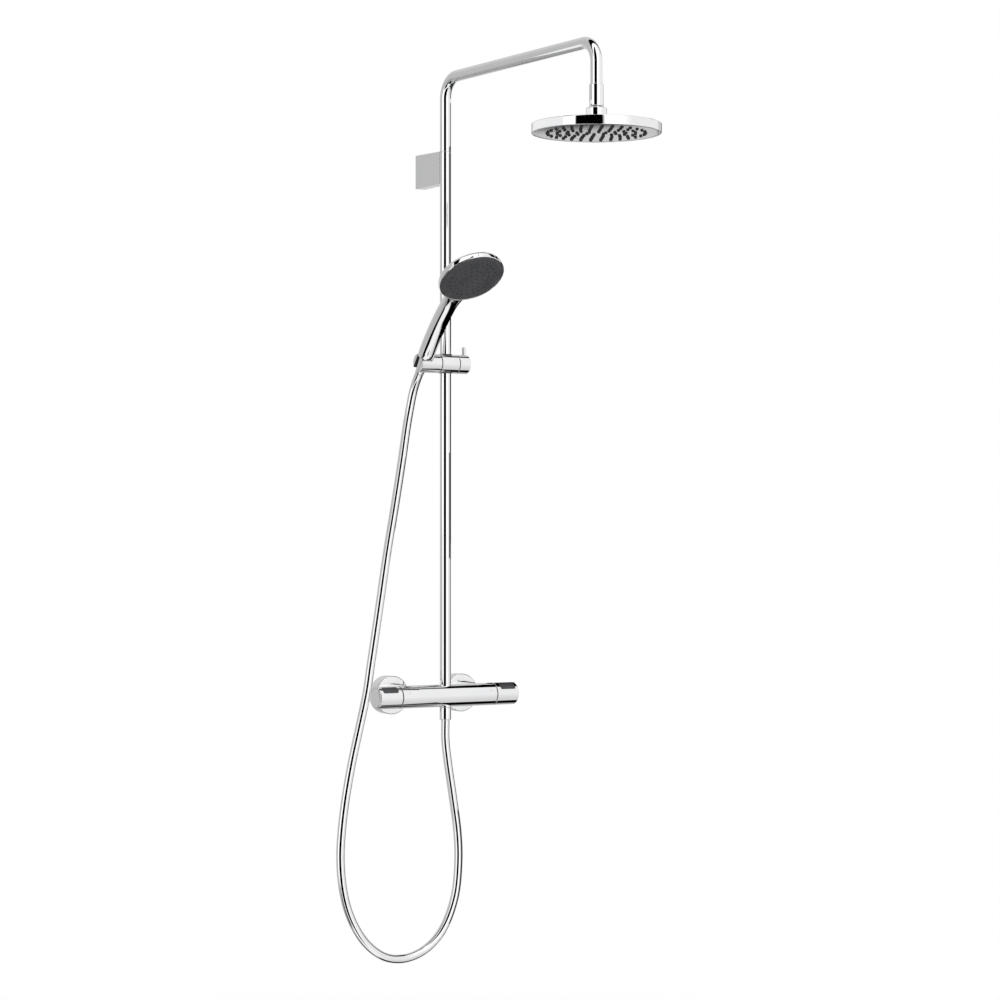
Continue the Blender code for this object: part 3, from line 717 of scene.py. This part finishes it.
def button_rows(shape, centre, rings):
    """Rings of vertices about the mixer's axis: each ring is (half length, half width, radius)."""
    across = X_AXIS.cross(BUTTON_OUT)
    rows = []
    for half, wide, radius in rings:
        row = []
        for x, y in rounded_outline(half, wide, max(0.4, 2.4 - (15.6 - half))):
            out = math.sqrt(radius**2 - y**2)
            row.append(shape.verts.new(centre + (X_AXIS * x + across * y + BUTTON_OUT * out) * MM))
        rows.append(row)
    return rows


def make_button(name, sign):
    """A push button that follows the bar's curve, with a softly rounded edge."""
    shape = bmesh.new()
    rings = [(13.0, 4.0, 18.1), (15.6, 7.0, 18.1), (15.6, 7.0, 20.5)]
    rings += [(15.45, 6.85, 20.95), (15.0, 6.4, 21.22)]
    rings += [(14.3, 5.7, 21.3), (12.6, 4.0, 21.3), (10.6, 2.0, 21.3)]
    centre = MIXER + X_AXIS * sign * BUTTON_X * MM
    rows = button_rows(shape, centre, rings)
    for first, second in zip(rows, rows[1:]):
        for i in range(len(first)):
            j = (i + 1) % len(first)
            shape.faces.new([first[i], first[j], second[j], second[i]])
    shape.faces.new(rows[0])
    shape.faces.new(rows[-1])
    bmesh.ops.recalc_face_normals(shape, faces=shape.faces)
    mesh = bpy.data.meshes.new(name)
    shape.to_mesh(mesh)
    shape.free()
    button = made(f"{name}_push_button", mesh)
    shade(button, 40)
    finish_piece(button, "button_plastic", f"{name}_button", f"{name}_button")


def button_cutter(sign):
    across = X_AXIS.cross(BUTTON_OUT)
    centre = MIXER + X_AXIS * sign * BUTTON_X * MM
    shape = bmesh.new()
    rows = []
    for depth in (12.0, 30.0):
        row = []
        for x, y in rounded_outline(15.95, 7.35, 2.7):
            row.append(shape.verts.new(centre + (X_AXIS * x + across * y + BUTTON_OUT * depth) * MM))
        rows.append(row)
    for i in range(len(rows[0])):
        j = (i + 1) % len(rows[0])
        shape.faces.new([rows[0][i], rows[0][j], rows[1][j], rows[1][i]])
    shape.faces.new(rows[0])
    shape.faces.new(rows[1])
    bmesh.ops.recalc_face_normals(shape, faces=shape.faces)
    mesh = bpy.data.meshes.new("button_cutter")
    shape.to_mesh(mesh)
    shape.free()
    return made("button_cutter", mesh)


def make_handle(name, sign):
    out = X_AXIS * sign
    ring = sleeve(f"{name}_ring", 20.0, 16.2, BODY_HALF + 0.3, BODY_HALF + 1.5, MIXER, out, 128, soft=0.2)
    finish_piece(ring, "dark_plastic", "root", f"{name}_stop_ring")
    inner, end = BODY_HALF + 1.8, MIXER_HALF - 0.6
    outline = [(MIXER_R - 0.8, end), (MIXER_R, end - 0.8), (MIXER_R, inner + 0.4), (MIXER_R - 0.4, inner)]
    outline += [(17.4, inner), (17.4, 142.0), (8.5, 142.0), (8.5, 112.0), (4.3, 112.0)]
    outline += [(4.3, 137.6), (2.2, 137.6), (2.2, 143.0), (18.3, 143.0), (18.3, end)]
    handle = turned(f"{name}_grip", outline, MIXER, out, 128, closed=True)
    carved(handle, button_cutter(sign))
    finish_piece(handle, "chrome", f"{name}_handle", f"{name}_handle")
    face = MIXER_HALF
    cap = [(0, face), (17.3, face), (18.0, face - 0.7), (18.0, 145.6), (0, 145.6)]
    end = turned(f"{name}_end", cap, MIXER, out, 128, soft=0.5)
    finish_piece(end, "chrome", f"{name}_handle", f"{name}_cap")
    make_button(name, sign)


# ---------------------------------------------------------------- slider and holder

SLIDER_R = 17.35
KNOB_PIN_X = 39.0
HANDLE_R = 15.0
SLOT_WIDE = 16.6
SEAT = 12.0
# Thickness of the near-black lining that paints the shade inside the holder's bore and slot.
SHADE_LINING = 1.3


def make_slider():
    body = rod("slider_block", SLIDER_R, -15.4, 21.2, SLIDER, X_AXIS, 128, soft=0.5)
    holes = [rod("hole", 11.9, -30, 30, SLIDER, Z_AXIS, 128, soft=0)]
    holes.append(rod("hole", 4.3, -20, -8, SLIDER, X_AXIS, 48, soft=0))
    holes.append(rod("hole", 3.4, 8, 25, SLIDER, X_AXIS, 48, soft=0))
    finish_piece(carved(body, *holes), "chrome", "slider", "slider_body")
    bush = sleeve("slider_liner", 11.7, TUBE_R + 0.2, -17.6, 17.6, SLIDER, Z_AXIS, 128)
    finish_piece(bush, "dark_plastic", "slider", "slider_bush")
    washer = sleeve("knob_disc", 15.4, 3.5, 21.5, 22.3, SLIDER, X_AXIS, soft=0.1)
    finish_piece(washer, "dark_plastic", "slider", "knob_washer")

    knob = rod("height_knob", SLIDER_R, 22.6, 44.1, SLIDER, X_AXIS, 128, soft=0.6)
    pin = SLIDER + X_AXIS * KNOB_PIN_X * MM
    screw_hole = rod("hole", 3.4, 20, 37, SLIDER, X_AXIS, 48, soft=0)
    pin_hole = rod("hole", 2.6, 8, 25, pin, Z_AXIS, 48, soft=0)
    carved(knob, screw_hole, pin_hole)
    finish_piece(knob, "chrome", "clamp", "clamp_knob")
    lever = [(0, 31.6), (2.4, 31.6), (3.2, 30.8), (3.2, 17.7), (2.3, 17.7), (2.3, 8.4), (0, 8.4)]
    finish_piece(turned("knob_pin", lever, pin, Z_AXIS, 48), "chrome", "clamp", "clamp_lever")


def nut_radius(along):
    """The cone nut's radius this far up the bore."""
    return 8.4 + 1.4 * (along + 21.0) / 32.7


def holder_bore(clear):
    """The tapered way through the holder, this much wider than the cone nut."""
    outline = [(0, 32), (nut_radius(32) + clear, 32), (nut_radius(-32) + clear, -32), (0, -32)]
    return turned("cone", outline, HOLDER, CONE_UP, 96, soft=0)


def holder_slot(width):
    turn = Matrix((X_AXIS, -CONE_FRONT, CONE_UP)).transposed().to_4x4()
    return slab("slot", (24.0, width, 80.0), HOLDER - X_AXIS * 12.0 * MM, turn)


def make_holder():
    """The cradle, with a near-black lining in its tapered bore and slot: painted shade, standing in for the shadow
    inside the slot beside the cone nut.
    """
    holder = rod("handset_cradle", SLIDER_R, -58.8, -17.0, SLIDER, X_AXIS, 128, soft=0.6)
    seat = rod("seat", HANDLE_R + 0.7, SEAT, 40, HOLDER, CONE_UP, soft=0)
    bolt_hole = rod("hole", 4.3, -30, -15, SLIDER, X_AXIS, 48, soft=0)
    clear_with_shade_lining = 0.5 + SHADE_LINING
    carved(holder, holder_bore(clear_with_shade_lining), seat, holder_slot(SLOT_WIDE + 2 * SHADE_LINING), bolt_hole)
    finish_piece(holder, "chrome", "holder", "handset_holder")

    # A near-black lining in the bore and slot, in the seal rubber's colour: painted shade where the inside of the
    # slot lies in shadow.
    shade_lining = rod("cradle_shade_lining", SLIDER_R - 0.4, -58.3, -30.6, SLIDER, X_AXIS, 128, soft=0.3)
    outside = holder_bore(clear_with_shade_lining - 0.05)
    joined(outside, [holder_slot(SLOT_WIDE + 2 * SHADE_LINING - 0.1)], "UNION")
    joined(shade_lining, [outside], "INTERSECT")
    shade_lining_bore = holder_bore(0.5)
    shade_lining_slot = holder_slot(SLOT_WIDE)
    shade_lining_seat = rod("seat", HANDLE_R + 0.7, SEAT, 40, HOLDER, CONE_UP, soft=0)
    carved(shade_lining, shade_lining_bore, shade_lining_slot, shade_lining_seat)
    finish_piece(shade_lining, "seal_rubber", "holder")
    washer = sleeve("cradle_disc", 15.4, 4.5, -16.7, -15.7, SLIDER, X_AXIS, soft=0.1)
    finish_piece(washer, "dark_plastic", "slider", "holder_washer")


def make_hose_nuts():
    nut = [(10.0, -21.3), (10.6, -21.9), (10.6, -43.4), (9.8, -44.2), (8.2, -44.2), (8.2, -37.0)]
    nut += [(8.0, -37.0), (8.0, -21.3)]
    finish_piece(turned("outlet_nut", nut, MIXER, Z_AXIS, closed=True), "chrome", "root", "hose_nut")
    low_r = nut_radius(-21.0)
    cone = [(nut_radius(11.7), 11.7), (low_r + 0.1, -20.2), (low_r - 0.5, -21.0)]
    cone += [(5.4, -21.0), (5.4, -5.0), (8.0, -5.0), (8.0, 11.7)]
    finish_piece(turned("cone_nut", cone, HOLDER, CONE_UP, closed=True), "chrome", "handset", "hose_cone_nut")


# ---------------------------------------------------------------- handset

HANDSET_R = 60.0
HANDLE_STRAIGHT = 12.7
HANDLE_CURVED = 160.0
HANDLE_TURN = math.radians(18.3)
VOXEL = 0.9


def handle_path(steps):
    """The handle's centre line: its heel straight in the holder, then steadily bent into the head."""
    tilt = math.acos(CONE_UP.z)
    place = on_cone(12.3)
    points = [place + CONE_UP * HANDLE_STRAIGHT * MM * i / 3 for i in range(4)]
    place = points[-1].copy()
    for i in range(steps):
        angle = tilt + HANDLE_TURN * (i + 0.5) / steps
        place += Vector((0, -math.sin(angle), math.cos(angle))) * HANDLE_CURVED / steps * MM
        gone = (i + 1) / steps
        sink = max(0.0, gone - 0.67) ** 2 * 72
        points.append(place + FACE_OUT * sink * MM)
    return points


def handle_radii(count):
    """(half width, half depth) along the handle, flaring sideways into the head."""
    radii = [(13.6, 13.6), (14.5, 14.5), (14.9, 14.9), (15.0, 15.0)]
    for i in range(count):
        gone = (i + 1) / count
        flare = max(0.0, (gone - 0.6) / 0.4)
        radii.append((HANDLE_R + 20.0 * flare**2.6, HANDLE_R - 5.0 * flare**1.6))
    return radii


def make_handset_shell():
    steps = 48
    handle = swept("handle", handle_path(steps), handle_radii(steps), 64)
    head = [(0, 21.5), (20, 21.0), (40, 18.8), (53, 15.5), (58, 12.5)]
    head += [(59.7, 9.0), (59.7, 3.6), (59.3, 3.2), (0, 3.2)]
    shell = turned("handset_body", head, FACE, -FACE_OUT, 128, soft=0.6)
    joined(shell, [handle], "UNION")
    carved(shell, rod("front", HANDSET_R - 0.8, -40, 3.1, FACE, -FACE_OUT, soft=0))
    remesh = shell.modifiers.new("remesh", "REMESH")
    remesh.mode = "VOXEL"
    remesh.voxel_size = VOXEL * MM
    soften = shell.modifiers.new("soften", "SMOOTH")
    soften.factor = 0.5
    soften.iterations = 14
    baked(shell)
    shell.data.shade_smooth()
    finish_piece(shell, "chromed_plastic", "handset", "handset_shell")


def make_handset():
    make_handset_shell()
    out = -FACE_OUT
    lip = [(59.6, 9.4), (60.15, 8.0), (60.15, 1.0), (59.5, 0.0), (58.6, 0.0), (58.3, 0.6), (58.3, 6.0)]
    ring = turned("handset_rim", lip, FACE, out, 192, closed=True, soft=0.3)
    finish_piece(ring, "chromed_plastic", "handset")
    plate = [(0, 3.0), (58.0, 3.0), (58.2, 0.6), (57.6, 0.1)]
    plate += [(55.6, -0.1), (55.0, 0.5), (54.4, 0.5), (53.8, -0.3)]
    plate += [(30.0, -0.5), (0, -0.6)]
    face = turned("handset_plate", plate, FACE, out, 192, soft=0.25)
    finish_piece(face, "dark_plastic", "handset", "handset_face")
    nozzle = [(0, 0.3), (0.3, 0.3), (0.3, 0.85), (0.75, 0.85), (1.0, 0.6), (1.1, -0.3), (0, -0.3)]
    front = FACE + FACE_OUT * 0.45 * MM
    field = nozzle_field("handset_nozzles", front, FACE_OUT, X_AXIS, 4, 10.5, nozzle, 0.0, 14)
    finish_piece(field, "seal_rubber", "handset", "handset_nozzle_mat")


# ---------------------------------------------------------------- studio

FLOOR_Z = -2.07
# The strength of the cards that stand close to the riser and the hose.
NEAR_CARD = 0.06
# Each dark strip of the world: its middle angle, its half width in degrees, and the z range it fades in over.
DARK_STRIPS = ((98.0, 12.0, (0.25, 0.4)), (-96.0, 20.0, (-0.25, -0.4)))


def emission(name, strength, inner=None):
    """A glowing material, or one that fades from a matt pale middle to full glow."""
    made_material = bpy.data.materials.new(name)
    made_material.use_nodes = True
    nodes = Nodes(made_material.node_tree)
    made_material.node_tree.nodes.clear()
    glow = nodes.add("ShaderNodeEmission")
    glow.inputs["Strength"].default_value = strength
    result = glow.outputs["Emission"]
    if inner:
        matt = nodes.add("ShaderNodeBsdfDiffuse")
        matt.inputs["Color"].default_value = (0.93, 0.93, 0.93, 1)
        place = nodes.add("ShaderNodeTexCoord").outputs["Object"]
        distance = nodes.add("ShaderNodeVectorMath", operation="LENGTH")
        nodes.link(place, distance.inputs[0])
        mix = nodes.add("ShaderNodeMixShader")
        nodes.link(nodes.ramp(distance.outputs["Value"], *inner, 0.0, 1.0, True), mix.inputs["Fac"])
        nodes.link(matt.outputs["BSDF"], mix.inputs[1])
        nodes.link(result, mix.inputs[2])
        result = mix.outputs["Shader"]
    nodes.link(result, nodes.add("ShaderNodeOutputMaterial").inputs["Surface"])
    return made_material


def quad(name, corners):
    mesh = bpy.data.meshes.new(name)
    mesh.from_pydata(corners, [], [tuple(range(len(corners)))])
    return made(name, mesh)


def make_card(name, start, end, low=-4.5, high=4.5, strength=0.0, one_sided=False, fade=None):
    """An upright card from start to end, as (x, y), that only shows in reflections."""
    (x0, y0), (x1, y1) = start, end
    card = quad(name, [(x0, y0, low), (x1, y1, low), (x1, y1, high), (x0, y0, high)])
    look = emission(name, strength)
    nodes = Nodes(look.node_tree)
    if fade:
        along = nodes.add("ShaderNodeSeparateXYZ")
        nodes.link(nodes.add("ShaderNodeTexCoord").outputs["Object"], along.inputs[0])
        glows = [nodes.ramp(along.outputs["X"], end, dark, 1.0, 0.0, True) for end, dark in fade]
        glow = next(node for node in look.node_tree.nodes if node.bl_idname == "ShaderNodeEmission")
        nodes.link(nodes.math("ADD", *glows), glow.inputs["Strength"])
    if one_sided:
        output = next(node for node in look.node_tree.nodes if node.bl_idname == "ShaderNodeOutputMaterial")
        mix = nodes.add("ShaderNodeMixShader")
        nodes.link(nodes.add("ShaderNodeNewGeometry").outputs["Backfacing"], mix.inputs["Fac"])
        nodes.link(output.inputs["Surface"].links[0].from_socket, mix.inputs[1])
        nodes.link(nodes.add("ShaderNodeBsdfTransparent").outputs["BSDF"], mix.inputs[2])
        nodes.link(mix.outputs["Shader"], output.inputs["Surface"])
    card.data.materials.append(look)
    card.visible_camera = False
    card.visible_diffuse = False
    card.visible_shadow = False
    card.visible_transmission = False


def make_floor():
    side = 30.0
    corners = [(-side, -side, 0), (side, -side, 0), (side, side, 0), (-side, side, 0)]
    floor = quad("floor", corners)
    floor.location = (0, 0, FLOOR_Z)
    floor.data.materials.append(emission("pale_floor", 1.0, (1.5, 3.5)))
    floor.visible_glossy = False


def make_light():
    light = bpy.data.lights.new("softbox", "AREA")
    light.shape = "RECTANGLE"
    light.size = 3.0
    light.size_y = 2.0
    light.energy = 60.0
    softbox = made("softbox", light)
    softbox.location = (-2.2, -3.0, 2.4)
    aim = Vector((0, -0.3, -0.7)) - softbox.location
    softbox.rotation_euler = aim.to_track_quat("-Z", "Y").to_euler()
    softbox.visible_glossy = False


def make_world():
    """A studio by direction: pale in front, greyer towards the wall, with a dark strip overhead and below."""
    world = bpy.data.worlds.new("studio")
    world.use_nodes = True
    bpy.context.scene.world = world
    nodes = Nodes(world.node_tree)
    world.node_tree.nodes.clear()
    direction = nodes.add("ShaderNodeSeparateXYZ")
    nodes.link(nodes.add("ShaderNodeTexCoord").outputs["Generated"], direction.inputs[0])
    x, y, z = direction.outputs

    below = nodes.math("MAXIMUM", nodes.math("MULTIPLY", z, -1.0), 0.0)
    falling = nodes.math("MULTIPLY", below, 0.3)
    front = nodes.math("SUBTRACT", nodes.ramp(x, 0.0, 0.6, 1.25, 0.90, True), falling)
    back = nodes.ramp(x, -0.6, 0.0, 0.52, 0.64, True)
    back = nodes.math("MULTIPLY", back, nodes.ramp(z, -0.6, -0.25, 0.6, 1.0, True))
    toward_wall = nodes.ramp(y, 0.15, 0.35, 0.0, 1.0, True)
    keep_front = nodes.math("MULTIPLY", front, nodes.math("SUBTRACT", 1.0, toward_wall))
    room = nodes.math("ADD", keep_front, nodes.math("MULTIPLY", back, toward_wall))

    turn = nodes.math("ARCTAN2", z, nodes.math("MULTIPLY", y, -1.0))
    right = nodes.ramp(x, -0.1, 0.1, 0.0, 1.0, True)
    shallow = nodes.math("MAXIMUM", right, nodes.ramp(z, -0.80, -0.72, 0.0, 1.0, True))
    wall_side = nodes.ramp(y, 0.10, 0.24, 0.0, 1.0, True)
    looking_down = nodes.ramp(z, -0.76, -0.80, 0.0, 1.0, True)
    low_at_wall = nodes.math("MULTIPLY", wall_side, looking_down)
    low_left_corner = nodes.math("MULTIPLY", low_at_wall, nodes.math("SUBTRACT", 1.0, right))
    room = nodes.math("MULTIPLY", room, nodes.math("SUBTRACT", 1.0, low_left_corner))
    for middle_angle, half_width, steep in DARK_STRIPS:
        away = nodes.math("ABSOLUTE", nodes.math("SUBTRACT", turn, math.radians(middle_angle)))
        edge = math.radians(half_width)
        in_strip = nodes.ramp(away, edge - 0.04, edge + 0.04, 1.0, 0.0, True)
        strip = nodes.math("MULTIPLY", in_strip, nodes.ramp(z, *steep, 0.0, 1.0, True))
        strip = nodes.math("MULTIPLY", strip, shallow)
        room = nodes.math("MULTIPLY", room, nodes.math("SUBTRACT", 1.0, strip))

    seen = nodes.add("ShaderNodeLightPath").outputs["Is Camera Ray"]
    strength = nodes.math("MAXIMUM", room, seen)
    background = nodes.add("ShaderNodeBackground")
    background.inputs["Color"].default_value = (1, 1, 1, 1)
    nodes.link(strength, background.inputs["Strength"])
    nodes.link(background.outputs["Background"], nodes.add("ShaderNodeOutputWorld").inputs["Surface"])


def make_studio():
    make_world()
    make_floor()
    make_light()
    make_card("card_front", (-6.8, -2.68), (-0.52, -1.98), fade=((-6.8, -5.4), (-0.52, -0.68)))
    make_card("card_right", (0.57, -0.27), (0.57, 0.015), -1.7, 0.2)
    make_card("card_right_middle", (0.571, -0.27), (0.571, 0.70), -0.70, -0.20)
    make_card("card_riser_top", (0.08, -0.17), (0.08, -0.06), -0.20, 0.05, NEAR_CARD)
    make_card("card_riser", (0.08, -0.17), (0.08, -0.06), -0.72, -0.52, NEAR_CARD)
    make_card("card_hose", (0.11, -0.20), (0.11, -0.06), -1.42, -1.18, NEAR_CARD)
    make_card("card_head", (-0.35, -0.59), (-0.08, -0.25), -0.02, 0.10, 0.92, one_sided=True)
    bpy.context.scene.view_settings.view_transform = "Standard"


# ---------------------------------------------------------------- the whole shower


def build():
    dress_cad_nodes()
    make_camera()
    make_hose()
    make_bracket()
    make_riser_and_arm()
    make_rain_head()
    make_mixer_body()
    for side in INLETS:
        make_inlet(side)
    make_handle("temperature", -1)
    make_handle("flow", 1)
    make_slider()
    make_holder()
    make_hose_nuts()
    make_handset()
    make_studio()


build()
